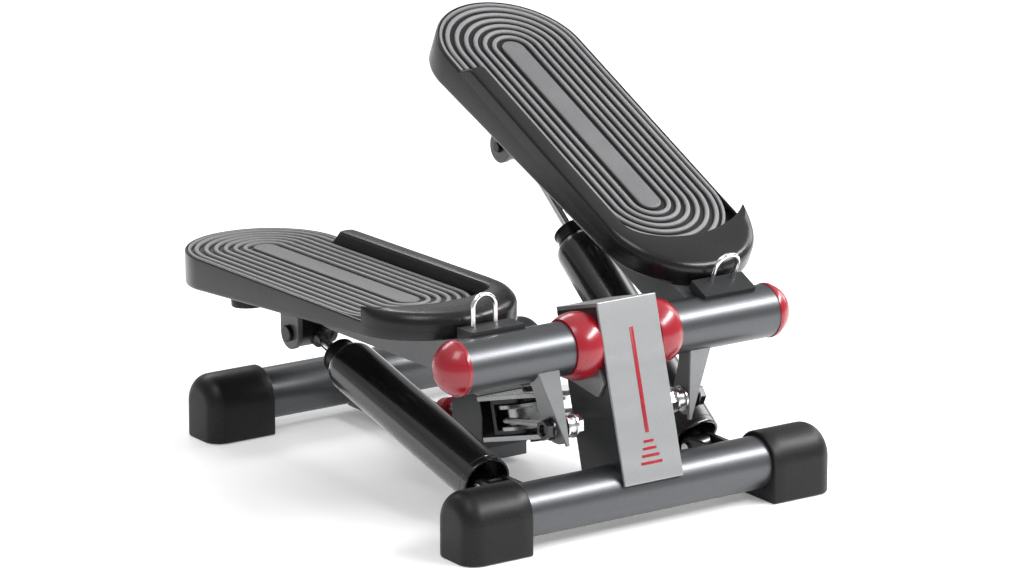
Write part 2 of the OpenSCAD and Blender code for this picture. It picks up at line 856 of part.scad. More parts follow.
// Polished rod with its piston
module rod(side) {
    span = cylinder_span(side);
    piston_at = span - 205;
    color(chrome) cylinder_frame(side) {
        y_cylinder(rod_d / 2, piston_at, span - eye_r + 1);
        y_cylinder(14.4, piston_at, piston_at + 14);
    }
}

module rod_eye(side) {
    color(black) cylinder_frame(side) translate([0, cylinder_span(side), 0]) difference() {
        union() {
            x_cylinder(eye_r, -eye_half, eye_half);
            y_cylinder(6.5, -eye_r - 5, 0);
        }
        x_cylinder(eye_bore_r, -20, 20);
        y_cylinder(rod_d / 2, -30, -eye_r + 1);
    }
}

module left_pivot_tube() { pivot_tube(-1); }
module left_end_cap() { end_cap(-1); }
module left_bushes() { bushes(-1); }
module left_rope_arm() { rope_arm(-1); }
module left_rope_bolt() { rope_bolt(-1); }
module left_pedal_arm() { pedal_arm(-1); }
module left_tray() { tray(-1); }
module left_mat() { mat(-1); }
module left_bumper() { bumper(-1); }
module left_band_ring() { band_ring(-1); }
module left_clevis() { clevis(-1); }
module left_clevis_pin() { clevis_pin(-1); }
module left_tray_screws() { tray_screws(-1); }
module right_pivot_tube() { pivot_tube(1); }
module right_end_cap() { end_cap(1); }
module right_bushes() { bushes(1); }
module right_rope_arm() { rope_arm(1); }
module right_rope_bolt() { rope_bolt(1); }
module right_pedal_arm() { pedal_arm(1); }
module right_tray() { tray(1); }
module right_mat() { mat(1); }
module right_bumper() { bumper(1); }
module right_band_ring() { band_ring(1); }
module right_clevis() { clevis(1); }
module right_clevis_pin() { clevis_pin(1); }
module right_tray_screws() { tray_screws(1); }
module left_barrel() { barrel(-1); }
module left_gland() { gland(-1); }
module left_rod() { rod(-1); }
module left_rod_eye() { rod_eye(-1); }
module right_barrel() { barrel(1); }
module right_gland() { gland(1); }
module right_rod() { rod(1); }
module right_rod_eye() { rod_eye(1); }

// ---- What is drawn ----

front_floor_tube();
rear_floor_tube();
front_left_foot();
front_right_foot();
rear_left_foot();
rear_right_foot();
column();
column_face_plate();
column_top_cap();
crossbar_axle();
left_inner_collar();
right_inner_collar();
centre_plates();
adjuster_block();
rear_beam();
left_cylinder_bracket();
right_cylinder_bracket();
cylinder_pins();
pulley_fork();
rope_pulley();
rope_wrap();
left_rope();
right_rope();
adjuster_knob();
left_pivot_tube();
left_end_cap();
left_bushes();
left_rope_arm();
left_rope_bolt();
left_pedal_arm();
left_tray();
left_mat();
left_bumper();
left_band_ring();
left_clevis();
left_clevis_pin();
left_tray_screws();
right_pivot_tube();
right_end_cap();
right_bushes();
right_rope_arm();
right_rope_bolt();
right_pedal_arm();
right_tray();
right_mat();
right_bumper();
right_band_ring();
right_clevis();
right_clevis_pin();
right_tray_screws();
left_barrel();
left_gland();
left_rod();
left_rod_eye();
right_barrel();
right_gland();
right_rod();
right_rod_eye();
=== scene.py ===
import bpy
import bmesh
import math
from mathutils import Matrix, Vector

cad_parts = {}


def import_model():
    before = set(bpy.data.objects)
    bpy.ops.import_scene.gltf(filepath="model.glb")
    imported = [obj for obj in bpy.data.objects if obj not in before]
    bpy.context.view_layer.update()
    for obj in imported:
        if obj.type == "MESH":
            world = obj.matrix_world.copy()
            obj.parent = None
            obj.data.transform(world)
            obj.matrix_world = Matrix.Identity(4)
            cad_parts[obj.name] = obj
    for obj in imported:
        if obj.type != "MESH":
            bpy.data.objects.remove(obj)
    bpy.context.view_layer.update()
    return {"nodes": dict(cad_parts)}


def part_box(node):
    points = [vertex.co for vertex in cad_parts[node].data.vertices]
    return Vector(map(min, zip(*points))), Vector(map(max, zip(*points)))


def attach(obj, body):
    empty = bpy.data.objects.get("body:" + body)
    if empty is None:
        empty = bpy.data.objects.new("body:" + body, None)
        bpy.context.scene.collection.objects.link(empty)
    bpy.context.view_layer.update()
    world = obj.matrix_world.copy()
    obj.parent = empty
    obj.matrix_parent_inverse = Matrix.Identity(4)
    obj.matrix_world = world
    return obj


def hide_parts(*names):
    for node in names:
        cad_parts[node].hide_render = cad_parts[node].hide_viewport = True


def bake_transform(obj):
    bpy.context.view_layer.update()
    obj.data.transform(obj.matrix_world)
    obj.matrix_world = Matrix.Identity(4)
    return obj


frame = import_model()
nodes = frame["nodes"]
mm = 0.001

# ---------------------------------------------------------------- places, from the frame


def middle(node):
    """Middle of a CAD node's box at rest, in mm."""
    lo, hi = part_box(node)
    return [(a + b) / 2 / mm for a, b in zip(lo, hi)]


axle_y, axle_z = middle("crossbar_axle")[1:]
front_y, tube_z = middle("front_floor_tube")[1:]
rear_y = middle("rear_floor_tube")[1]
PEDAL_X = 96.9  # from the machine's middle to a pedal's middle
ANGLE = {-1: math.radians(-1.0), 1: math.radians(25.0)}  # of each pedal at rest
SIDE = {-1: "left", 1: "right"}
LEAN = math.radians(15.85)  # of the column
PLATE_FOOT = (0.0, front_y - 20.1, 34.9)  # the face plate's lower edge


def pedal(side, x, s, h):
    """Point of a pedal: x outward from its middle, s back from the axle, h above it."""
    a = ANGLE[side]
    return Vector((side * (PEDAL_X + x) * mm,
                   (axle_y + s * math.cos(a) - h * math.sin(a)) * mm,
                   (axle_z + s * math.sin(a) + h * math.cos(a)) * mm))


def column(x, back, up):
    """Point in the column's own frame, from the face plate's lower edge."""
    return Vector((x * mm,
                   (PLATE_FOOT[1] + back * math.cos(LEAN) + up * math.sin(LEAN)) * mm,
                   (PLATE_FOOT[2] - back * math.sin(LEAN) + up * math.cos(LEAN)) * mm))


def world(x, y, z):
    """Point in the frame, given in mm."""
    return Vector((x * mm, y * mm, z * mm))


# ---------------------------------------------------------------- materials

def new_material(name):
    material = bpy.data.materials.new(name)
    material.use_nodes = True
    tree = material.node_tree
    tree.nodes.clear()
    out = tree.nodes.new("ShaderNodeOutputMaterial")
    shader = tree.nodes.new("ShaderNodeBsdfPrincipled")
    tree.links.new(shader.outputs[0], out.inputs[0])
    return material, tree, shader


def coords(tree):
    return tree.nodes.new("ShaderNodeTexCoord").outputs["Object"]


def noise(tree, vec, scale, detail, rough, stretch=None):
    if stretch:
        mapping = tree.nodes.new("ShaderNodeMapping")
        mapping.inputs["Scale"].default_value = stretch
        tree.links.new(vec, mapping.inputs["Vector"])
        vec = mapping.outputs[0]
    node = tree.nodes.new("ShaderNodeTexNoise")
    node.inputs["Scale"].default_value = scale
    node.inputs["Detail"].default_value = detail
    node.inputs["Roughness"].default_value = rough
    tree.links.new(vec, node.inputs["Vector"])
    return node.outputs[0]


def ramp(tree, fac, stops):
    node = tree.nodes.new("ShaderNodeValToRGB")
    marks = node.color_ramp.elements
    while len(marks) < len(stops):
        marks.new(0.5)
    for mark, (pos, col) in zip(marks, stops):
        mark.position = pos
        mark.color = (*col, 1.0)
    tree.links.new(fac, node.inputs[0])
    return node.outputs[0]


def grey(v):
    return (v, v, v)


def spread(tree, fac, start, end, low=0.0, high=1.0):
    """Grey from low to high as fac goes from start to end."""
    return ramp(tree, fac, [(start, grey(low)), (end, grey(high))])


def mix(tree, fac, a, b):
    """Colour between a and b; each input is a number, a colour or another node's output."""
    node = tree.nodes.new("ShaderNodeMix")
    node.data_type = "RGBA"
    for socket, value in ((node.inputs[0], fac), (node.inputs[6], a), (node.inputs[7], b)):
        if isinstance(value, (int, float)):
            socket.default_value = value
        elif isinstance(value, tuple):
            socket.default_value = (*value, 1.0)
        else:
            tree.links.new(value, socket)
    return node.outputs[2]


def maths(tree, op, a, b=0.0):
    node = tree.nodes.new("ShaderNodeMath")
    node.operation = op
    for socket, value in ((node.inputs[0], a), (node.inputs[1], b)):
        if isinstance(value, (int, float)):
            socket.default_value = value
        else:
            tree.links.new(value, socket)
    return node.outputs[0]


def bump(tree, shader, height, strength, distance):
    node = tree.nodes.new("ShaderNodeBump")
    node.inputs["Strength"].default_value = strength
    node.inputs["Distance"].default_value = distance
    tree.links.new(height, node.inputs["Height"])
    tree.links.new(node.outputs[0], shader.inputs["Normal"])


FLAKE = 1500.0  # scale of the paint's flake
RED = ((0.235, 0.004, 0.012), (0.3, 0.007, 0.019))
CHROME = (0.83, 0.835, 0.845)
BLACKENED = (0.05, 0.05, 0.053)


def metallic_paint(name, dark, light, rough, metal, coat=0.25):
    """Satin metallic paint: fine flake, faint drawing lines along the part and slight orange peel."""
    material, tree, shader = new_material(name)
    place = coords(tree)
    flakes = noise(tree, place, FLAKE, 2.0, 0.6)
    haze = noise(tree, place, 5.0, 2.0, 0.4)
    colour = mix(tree, spread(tree, flakes, 0.3, 0.7), dark, light)
    colour = mix(tree, maths(tree, "MULTIPLY", haze, 0.12), colour, dark)
    tree.links.new(colour, shader.inputs["Base Color"])
    shader.inputs["Metallic"].default_value = metal
    lines = noise(tree, place, 90.0, 3.0, 0.5, (0.04, 1.0, 1.0))
    gloss = spread(tree, lines, 0.3, 0.7, rough - 0.03, rough + 0.04)
    tree.links.new(gloss, shader.inputs["Roughness"])
    shader.inputs["Coat Weight"].default_value = coat
    shader.inputs["Coat Roughness"].default_value = 0.15
    peel = noise(tree, place, 420.0, 2.0, 0.5)
    bump(tree, shader, peel, 0.05, 0.0002)
    return material


def polished(name, tint, rough):
    """Bare or plated metal with faint clouds and fine scratches."""
    material, tree, shader = new_material(name)
    place = coords(tree)
    fine = noise(tree, place, 260.0, 3.0, 0.6)
    cloud = noise(tree, place, 22.0, 4.0, 0.6)
    colour = mix(tree, spread(tree, cloud, 0.35, 0.8), tint, tuple(x * 0.86 for x in tint))
    tree.links.new(colour, shader.inputs["Base Color"])
    shader.inputs["Metallic"].default_value = 1.0
    gloss = spread(tree, fine, 0.3, 0.75, max(0.02, rough - 0.04), rough + 0.07)
    tree.links.new(gloss, shader.inputs["Roughness"])
    bump(tree, shader, fine, 0.05, 0.0002)
    return material


def rubber(name, base, high, rough, grain, depth, shine=0.24):
    """Rubber or plastic with a moulded grain and a trace of dust."""
    material, tree, shader = new_material(name)
    place = coords(tree)
    fine = noise(tree, place, grain, 3.0, 0.65)
    cloud = noise(tree, place, 14.0, 4.0, 0.6)
    colour = mix(tree, spread(tree, fine, 0.38, 0.66), base, high)
    dust = spread(tree, cloud, 0.5, 0.85, 0.0, 0.35)
    colour = mix(tree, dust, colour, tuple(x * 1.25 + 0.001 for x in high))
    tree.links.new(colour, shader.inputs["Base Color"])
    gloss = spread(tree, cloud, 0.3, 0.75, rough - 0.05, rough + 0.07)
    tree.links.new(gloss, shader.inputs["Roughness"])
    shader.inputs["Specular IOR Level"].default_value = shine
    bump(tree, shader, fine, depth, 0.0004)
    return material


tube_paint = metallic_paint("gunmetal_paint", (0.085, 0.088, 0.093), (0.108, 0.112, 0.118), 0.35, 0.85, 0.06)
frame_paint = metallic_paint("graphite_paint", (0.02, 0.021, 0.023), (0.033, 0.034, 0.037), 0.34, 0.5)
arm_paint = metallic_paint("grey_powder_coat", (0.075, 0.077, 0.08), (0.1, 0.102, 0.106), 0.4, 0.4, 0.1)
lever_paint = metallic_paint("steel_grey_paint", (0.17, 0.172, 0.176), (0.22, 0.222, 0.226), 0.36, 0.5, 0.1)
stack_steel = metallic_paint("bright_steel", (0.42, 0.425, 0.43), (0.52, 0.525, 0.53), 0.24, 0.9, 0.0)
plate_metal = metallic_paint("silver_plate", (0.31, 0.315, 0.32), (0.36, 0.365, 0.37), 0.36, 0.55, 0.1)
chrome = polished("chrome", CHROME, 0.08)
zinc = polished("zinc", (0.62, 0.625, 0.62), 0.22)
dark_bolt = polished("black_oxide", BLACKENED, 0.28)
wire = polished("galvanised_wire", (0.55, 0.555, 0.56), 0.3)
foot_rubber = rubber("foot_rubber", (0.0045, 0.0045, 0.005), (0.011, 0.011, 0.0115), 0.42, 900.0, 0.2)
pad_rubber = rubber("pad_rubber", (0.006, 0.006, 0.0065), (0.015, 0.015, 0.016), 0.45, 900.0, 0.25)
tray_plastic = rubber("tray_plastic", (0.005, 0.005, 0.0055), (0.0115, 0.0115, 0.0125),
                      0.24, 1700.0, 0.12, shine=0.34)
nylon = rubber("nylon", (0.007, 0.007, 0.0075), (0.015, 0.015, 0.016), 0.3, 900.0, 0.1)
bush_nylon = rubber("bush_nylon", (0.5, 0.49, 0.44), (0.58, 0.57, 0.52), 0.4, 500.0, 0.1)


def ring_material(side):
    """Painted plate below, bright wire above, parted at the plate's top in the pedal's own frame."""
    material, tree, shader = new_material(f"{SIDE[side]}_band_ring_metal")
    place = coords(tree)
    a = ANGLE[side]
    up = tree.nodes.new("ShaderNodeVectorMath")
    up.operation = "DOT_PRODUCT"
    up.inputs[1].default_value = (0.0, -math.sin(a), math.cos(a))
    tree.links.new(place, up.inputs[0])
    base = (axle_z * math.cos(a) - axle_y * math.sin(a)) * mm
    height = maths(tree, "SUBTRACT", up.outputs["Value"], base)
    plate_top = 22.2 * mm
    is_wire = maths(tree, "GREATER_THAN", height, plate_top)
    flake = noise(tree, place, FLAKE, 2.0, 0.6)
    paint = mix(tree, flake, (0.012, 0.012, 0.013), (0.026, 0.027, 0.028))
    tree.links.new(mix(tree, is_wire, paint, CHROME), shader.inputs["Base Color"])
    tree.links.new(is_wire, shader.inputs["Metallic"])
    shader.inputs["Specular IOR Level"].default_value = 0.2
    gloss = maths(tree, "SUBTRACT", 0.38, maths(tree, "MULTIPLY", is_wire, 0.3))
    tree.links.new(gloss, shader.inputs["Roughness"])
    bump(tree, shader, flake, 0.05, 0.0002)
    return material


def bolt_material():
    """Bright washers and rope eye on the inside, blackened head on the outside."""
    material, tree, shader = new_material("rope_bolt_metal")
    place = coords(tree)
    part = tree.nodes.new("ShaderNodeSeparateXYZ")
    tree.links.new(place, part.inputs[0])
    head_from = 62.0 * mm
    outside = maths(tree, "GREATER_THAN", maths(tree, "ABSOLUTE", part.outputs[0]), head_from)
    cloud = noise(tree, place, 60.0, 4.0, 0.6)
    bright = mix(tree, cloud, (0.52, 0.525, 0.52), (0.7, 0.705, 0.7))
    tree.links.new(mix(tree, outside, bright, BLACKENED), shader.inputs["Base Color"])
    shader.inputs["Metallic"].default_value = 1.0
    tree.links.new(spread(tree, cloud, 0.3, 0.75, 0.16, 0.3), shader.inputs["Roughness"])
    bump(tree, shader, cloud, 0.05, 0.0002)
    return material


def knob_material():
    """Red knob at the back, bright screw in front of it."""
    material, tree, shader = new_material("adjuster_knob_finish")
    place = coords(tree)
    back = tree.nodes.new("ShaderNodeVectorMath")
    back.operation = "DOT_PRODUCT"
    back.inputs[1].default_value = (0.0, math.cos(LEAN), -math.sin(LEAN))
    tree.links.new(place, back.inputs[0])
    foot = (PLATE_FOOT[1] * math.cos(LEAN) - PLATE_FOOT[2] * math.sin(LEAN)) * mm
    knob_from = 244.5 * mm
    is_knob = maths(tree, "GREATER_THAN", maths(tree, "SUBTRACT", back.outputs["Value"], foot), knob_from)
    cloud = noise(tree, place, 40.0, 4.0, 0.6)
    plastic = mix(tree, cloud, *RED)
    tree.links.new(mix(tree, is_knob, (0.55, 0.555, 0.55), plastic), shader.inputs["Base Color"])
    tree.links.new(maths(tree, "SUBTRACT", 1.0, is_knob), shader.inputs["Metallic"])
    tree.links.new(spread(tree, cloud, 0.3, 0.75, 0.22, 0.32), shader.inputs["Roughness"])
    bump(tree, shader, cloud, 0.05, 0.0002)
    return material


def mat_material():
    """Ridged mat: grey rubber where the mesh's relief attribute marks it as raised, with painted shade that
    colours the grooves near black.
    """
    material, tree, shader = new_material("mat_rubber")
    place = coords(tree)
    fine = noise(tree, place, 1900.0, 3.0, 0.7)
    cloud = noise(tree, place, 16.0, 4.0, 0.6)
    relief_shade = tree.nodes.new("ShaderNodeAttribute")
    relief_shade.attribute_name = "relief_shade"
    top = mix(tree, spread(tree, fine, 0.36, 0.68), (0.13, 0.13, 0.134), (0.24, 0.24, 0.246))
    worn = spread(tree, cloud, 0.42, 0.8, 0.0, 0.5)
    top = mix(tree, worn, top, (0.27, 0.27, 0.276))
    # painted shade: where the relief attribute is low, in the grooves, the colour goes to near black
    colour = mix(tree, spread(tree, relief_shade.outputs["Fac"], 0.05, 0.8), (0.004, 0.004, 0.0045), top)
    tree.links.new(colour, shader.inputs["Base Color"])
    gloss = spread(tree, cloud, 0.3, 0.75, 0.42, 0.56)
    tree.links.new(gloss, shader.inputs["Roughness"])
    shader.inputs["Specular IOR Level"].default_value = 0.4
    bump(tree, shader, fine, 0.45, 0.0004)
    return material


def red_material():
    material, tree, shader = new_material("red_plastic")
    place = coords(tree)
    cloud = noise(tree, place, 30.0, 4.0, 0.6)
    fine = noise(tree, place, 500.0, 2.0, 0.5)
    colour = mix(tree, spread(tree, cloud, 0.3, 0.75), *RED)
    tree.links.new(colour, shader.inputs["Base Color"])
    gloss = spread(tree, cloud, 0.3, 0.8, 0.22, 0.32)
    tree.links.new(gloss, shader.inputs["Roughness"])
    shader.inputs["Coat Weight"].default_value = 0.25
    shader.inputs["Coat Roughness"].default_value = 0.12
    shader.inputs["Subsurface Weight"].default_value = 0.03
    bump(tree, shader, fine, 0.06, 0.0003)
    return material


def enamel_material():
    material, tree, shader = new_material("black_enamel")
    place = coords(tree)
    cloud = noise(tree, place, 18.0, 4.0, 0.6)
    peel = noise(tree, place, 260.0, 2.0, 0.5)
    colour = mix(tree, spread(tree, cloud, 0.3, 0.8), (0.004, 0.004, 0.0045), (0.008, 0.008, 0.0085))
    tree.links.new(colour, shader.inputs["Base Color"])
    gloss = spread(tree, cloud, 0.3, 0.8, 0.24, 0.34)
    tree.links.new(gloss, shader.inputs["Roughness"])
    shader.inputs["Coat Weight"].default_value = 0.7
    shader.inputs["Coat Roughness"].default_value = 0.1
    bump(tree, shader, peel, 0.07, 0.0004)
    return material


mat_rubber = mat_material()
rope_bolt_metal = bolt_material()
knob_finish = knob_material()
red = red_material()
enamel = enamel_material()

# ---------------------------------------------------------------- mesh helpers


def make(name, shape, mat, body, replaces, sharp, merge=0.00002, relief_shade=False):
    """Makes one piece: joins its vertices, smooths all but its sharp edges, and gives it body and slot."""
    me = bpy.data.meshes.new(name)
    me.from_pydata([tuple(v) for v in shape.v], [], shape.f)
    if relief_shade:
        values = me.attributes.new("relief_shade", "FLOAT", "POINT")
        values.data.foreach_set("value", shape.w)
    bm = bmesh.new()
    bm.from_mesh(me)
    bmesh.ops.remove_doubles(bm, verts=bm.verts, dist=merge)
    bmesh.ops.dissolve_degenerate(bm, edges=bm.edges, dist=merge)
    bmesh.ops.recalc_face_normals(bm, faces=bm.faces)
    bm.to_mesh(me)
    bm.free()
    for p in me.polygons:
        p.use_smooth = True
    me.set_sharp_from_angle(angle=math.radians(sharp))
    o = bpy.data.objects.new(name, me)
    bpy.context.scene.collection.objects.link(o)
    me.materials.append(mat)
    if body:
        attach(o, body)
    if replaces:
        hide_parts(*replaces)
    return o


class Build:
    """Collects the vertices v, the faces f and each vertex's relief w of one piece; on the mat, w sets the
    painted shade in the grooves.
    """

    def __init__(self):
        self.v, self.f, self.w = [], [], []

    def ring(self, pts, w=1.0):
        k = len(self.v)
        self.v += pts
        self.w += [w] * len(pts)
        return list(range(k, k + len(pts)))

    def bridge(self, a, b, closed=True):
        """Quads between two rings of the same number of vertices."""
        n = len(a)
        for i in range(n if closed else n - 1):
            j = (i + 1) % n
            self.f.append((a[i], a[j], b[j], b[i]))

    def cap(self, a):
        self.f.append(tuple(a))

    def loft(self, rings, caps=True):
        """Skin over closed rings, by default with both ends filled."""
        ids = [self.ring(r) for r in rings]
        for a, b in zip(ids, ids[1:]):
            self.bridge(a, b)
        if caps:
            self.cap(ids[0])
            self.cap(ids[-1][::-1])
        return ids

    def box(self, place, x, y, z):
        """Box between pairs of limits; place turns three of them into a point."""
        k = len(self.v)
        corners = ((x[0], y[0]), (x[1], y[0]), (x[1], y[1]), (x[0], y[1]))
        for c in z:
            self.ring([place(a, b, c) for a, b in corners])
        for q in ((0, 1, 2, 3), (7, 6, 5, 4), (0, 4, 5, 1), (1, 5, 6, 2), (2, 6, 7, 3), (3, 7, 4, 0)):
            self.f.append(tuple(k + i for i in q))


def lathe(b, origin, axis, profile, n):
    """Turns (distance along axis, radius) points, in mm, round an axis through origin."""
    axis = Vector(axis).normalized()
    u = axis.orthogonal().normalized()
    w = axis.cross(u)
    turns = [2 * math.pi * i / n for i in range(n)]
    spokes = [u * math.cos(a) + w * math.sin(a) for a in turns]
    rings = [[origin + axis * (d * mm) + spoke * (r * mm) for spoke in spokes] for d, r in profile]
    b.loft(rings, caps=False)


def arc(cx, cy, r, a0, a1, n):
    """Points of an arc between two angles in degrees."""
    turns = [math.radians(a0 + (a1 - a0) * i / n) for i in range(n + 1)]
    return [(cx + r * math.cos(a), cy + r * math.sin(a)) for a in turns]


def resample(pts, n):
    """The same path with n points at equal distances."""
    d = [0.0]
    for a, b in zip(pts, pts[1:]):
        d.append(d[-1] + math.dist(a, b))
    out, k = [], 0
    for i in range(n):
        t = d[-1] * i / (n - 1)
        while k < len(pts) - 2 and d[k + 1] < t:
            k += 1
        f = (t - d[k]) / max(1e-9, d[k + 1] - d[k])
        out.append(tuple(a + (b - a) * f for a, b in zip(pts[k], pts[k + 1])))
    return out


def smooth_path(pts, n):
    """Smooth curve through the points (Catmull-Rom), with n points at equal distances."""
    out = []
    for i in range(len(pts) - 1):
        p0 = pts[max(0, i - 1)]
        p1, p2 = pts[i], pts[i + 1]
        p3 = pts[min(len(pts) - 1, i + 2)]
        for k in range(8):
            t = k / 8
            out.append(tuple(0.5 * (2 * b + (c - a) * t + (2 * a - 5 * b + 4 * c - d) * t * t
                                    + (-a + 3 * b - 3 * c + d) * t ** 3)
                             for a, b, c, d in zip(p0, p1, p2, p3)))
    out.append(tuple(pts[-1]))
    return resample(out, n)


# ---------------------------------------------------------------- pedal trays

# Distances back from the axle, to the centres of the tray's round ends, and half its width.
TOE, TAIL, WIDE = 81.0, 300.6, 59.0
TOP = 20.3  # height of the rim
DECK = 14.35  # height of the deck under the mat
INSIDE = 56.3  # half width between the side walls, which the ribs reach
RIB = 2.0  # thickness of a rib
ARM_X = -8.3  # middle of the pedal's arm
WALL_END = 283.0  # rear end of the raised inner wall
WALL_IN = 46.0  # the wall's inner face


def tray_floor(s):
    """Height of the tray's lower edge."""
    return 12.5 - math.tan(math.radians(3.35)) * (s - 20.0)


def deck_under(s):
    """Height of the deck's underside."""
    return max(11.3, tray_floor(s) + 1.5)


def half_outline(r):
    """Right-hand half of the tray's outline, from the toe to the tail."""
    n_arc, n_side = 28, 10
    turns = [math.pi / 2 * i / n_arc for i in range(n_arc + 1)]
    pts = [(r * math.sin(a), TOE - r * math.cos(a)) for a in turns]
    pts += [(r, TOE + (TAIL - TOE) * i / n_side) for i in range(1, n_side)]
    pts += [(r * math.cos(a), TAIL + r * math.sin(a)) for a in turns]
    return pts


def full_outline(r):
    h = half_outline(r)
    return h + [(-x, s) for x, s in h[-2:0:-1]]


def ease(t):
    """Smooth step from 0 to 1."""
    t = min(1.0, max(0.0, t))
    return t * t * (3 - 2 * t)


def tray_levels():
    """Half widths with their heights, from the deck's underside down, out, up and in to the deck's top."""
    def edge(lift):
        return lambda s: tray_floor(s) + lift

    def level(height):
        return lambda s: height

    def flank(s):
        floor = tray_floor(s)
        return 12.0 + 0.25 * (floor - 12.0) if floor < 8 else 16.0

    return [
        (56.2, deck_under), (56.2, edge(0.6)), (56.5, edge(0.1)), (57.0, edge(0.0)), (57.8, edge(0.25)),
        (58.5, edge(0.9)), (58.9, edge(1.9)), (WIDE, edge(3.2)), (WIDE, flank), (WIDE, level(18.6)),
        (58.9, level(19.3)), (58.6, level(19.9)), (58.1, level(20.25)), (57.6, level(TOP)),
        (57.2, level(20.2)), (57.0, level(19.9)), (56.9, level(19.2)), (56.8, level(DECK)),
    ]


def add_tray_shell(b, side):
    rings = [[pedal(side, x, s, h(s)) for x, s in full_outline(r)] for r, h in tray_levels()]
    ids = b.loft(rings, caps=False)
    # both faces of the deck, as strips from side to side
    n = len(half_outline(1.0))
    for ring in (ids[0], ids[-1]):
        right = ring[:n]
        left = [ring[0]] + ring[n:][::-1] + [ring[n - 1]]
        b.bridge(right, left, closed=False)


def add_tray_ribs(b, side):
    """Moulded ribs under the deck: four along the tray, in short pieces, and eight across it."""
    def rib_edge(x, s, upper):
        return pedal(side, x, s, deck_under(s) + 0.4 if upper else tray_floor(s) + 0.15)

    pieces = 24
    for x in (ARM_X - 22.5, ARM_X - 1.0, ARM_X + 20.5, 36.0):
        reach = math.sqrt(INSIDE ** 2 - max(abs(x), abs(x + RIB)) ** 2)
        s0, s1 = TOE - reach, TAIL + reach
        for i in range(pieces):
            k = len(b.v)
            for s in (s0 + (s1 - s0) * i / pieces, s0 + (s1 - s0) * (i + 1) / pieces):
                for face in (x, x + RIB):
                    b.ring([rib_edge(face, s, False), rib_edge(face, s, True)])
            faces = [(0, 2, 6, 4), (1, 5, 7, 3), (0, 4, 5, 1), (2, 3, 7, 6)]
            if i == 0:
                faces.append((0, 1, 3, 2))
            if i == pieces - 1:
                faces.append((4, 6, 7, 5))
            b.f += [tuple(k + j for j in q) for q in faces]
    for s in range(56, 323, 38):
        reach = INSIDE
        if s < TOE:
            reach = math.sqrt(INSIDE ** 2 - (TOE - s) ** 2)
        if s > TAIL:
            reach = math.sqrt(INSIDE ** 2 - (s + RIB - TAIL) ** 2)
        b.box(rib_edge, (-reach, reach), (s, s + RIB), (False, True))


def lip_section(side, o, i, lift, toe):
    """Section of the lip between its outer point o and inner point i, with a wide shoulder at the toe."""
    width = math.dist(o, i)
    d = ((i[0] - o[0]) / max(width, 1e-6), (i[1] - o[1]) / max(width, 1e-6))
    top = TOP + 10.2 * lift
    low = min(14.2, top - 4.0)
    f = min(1.0, width / 7.0) * (0.25 + 0.75 * lift)

    def at(t, h):
        return pedal(side, o[0] + d[0] * t, o[1] + d[1] * t, h)

    clear = 0.02
    reach = min(2.3 * f + (7.5 - 2.3 * f) * toe, width * 0.45)
    drop = 2.6 * f + (8.0 - 2.6 * f) * toe
    ring = [at(clear, low)]
    for k in range(8):
        turn = math.pi / 2 * k / 7
        ring.append(at(clear + reach * (1 - math.cos(turn)), top - drop * (1 - math.sin(turn))))
    ring += [at(width / 2, top + 0.35 * f), at(width - 2.3 * f, top), at(width - 1.0 * f, top - 0.35 * f),
             at(width - 0.25 * f, top - 1.3 * f), at(width, top - 2.6 * f), at(width, low)]
    return ring


def add_tray_lip(b, side):
    """Raised inner wall and toe lip, one band from the wall's rear end round the toe."""
    n_wall, n_toe = 40, 60
    turns = [math.pi * i / n_toe for i in range(n_toe + 1)]
    outer = [(-WIDE, WALL_END - (WALL_END - TOE) * i / n_wall) for i in range(n_wall)]
    outer += [(-WIDE * math.cos(a), TOE - WIDE * math.sin(a)) for a in turns]
    inner = [(-WALL_IN, WALL_END - (WALL_END - TOE - 12) * i / n_wall) for i in range(n_wall)]
    inner += smooth_path([(-46.0, 93.0), (-45.9, 84.0), (-44.2, 77.0), (-39.5, 71.0), (-31.0, 65.6),
                          (-18.0, 61.0), (0.0, 59.0), (18.0, 60.8), (36.0, 66.5), (49.0, 73.5),
                          (58.6, 80.6)], n_toe + 1)
    rings = []
    for k, (o, i) in enumerate(zip(outer, inner)):
        lift = ease((WALL_END - o[1]) / 11.0)
        rings.append(lip_section(side, o, i, lift, ease((k - n_wall + 4) / 12)))
    b.loft(rings)


def add_screw_bosses(b, side):
    up = (pedal(side, 0, 0, 1) - pedal(side, 0, 0, 0)).normalized()
    for s in (62, 150, 238):
        for x in (ARM_X - 13, ARM_X + 13):
            depth = max(1.0, deck_under(s) - tray_floor(s))
            lathe(b, pedal(side, x, s, tray_floor(s) + 0.15), up, [(0, 2.6), (0, 6.0), (depth, 6.0)], 32)


def build_tray(side):
    b = Build()
    add_tray_shell(b, side)
    add_tray_ribs(b, side)
    add_tray_lip(b, side)
    add_screw_bosses(b, side)
    make(f"{SIDE[side]}_moulded_tray", b, tray_plastic, f"{SIDE[side]}_pedal",
         [f"{SIDE[side]}_tray"], 32.0)


# ---------------------------------------------------------------- ridged mats

RIDGE_FRONT = 113.0  # centre of the ridges' front turn, back from the axle
# The outermost ridge's outer edge, the ridges' spacing and width, and how many there are.
RIDGE_OUT, RIDGE_PITCH, RIDGE_W, RIDGES = 52.4, 7.1, 3.9, 6
CENTRE_R = 9.6  # half width of the flat oval in the middle
MARGIN_R = 54.0  # where the flat margin outside the ridges starts
MAT_R = 56.6  # half width of the mat
MAT_WALL, MAT_WALL_END = 45.9, 284.9  # the mat's edge along the inner wall, and its rear end
LIP_CENTRE, LIP_R = 149.0, 89.7  # circle that the mat's front edge follows along the toe lip
MAT_UNDER = 14.3  # height of the mat's underside


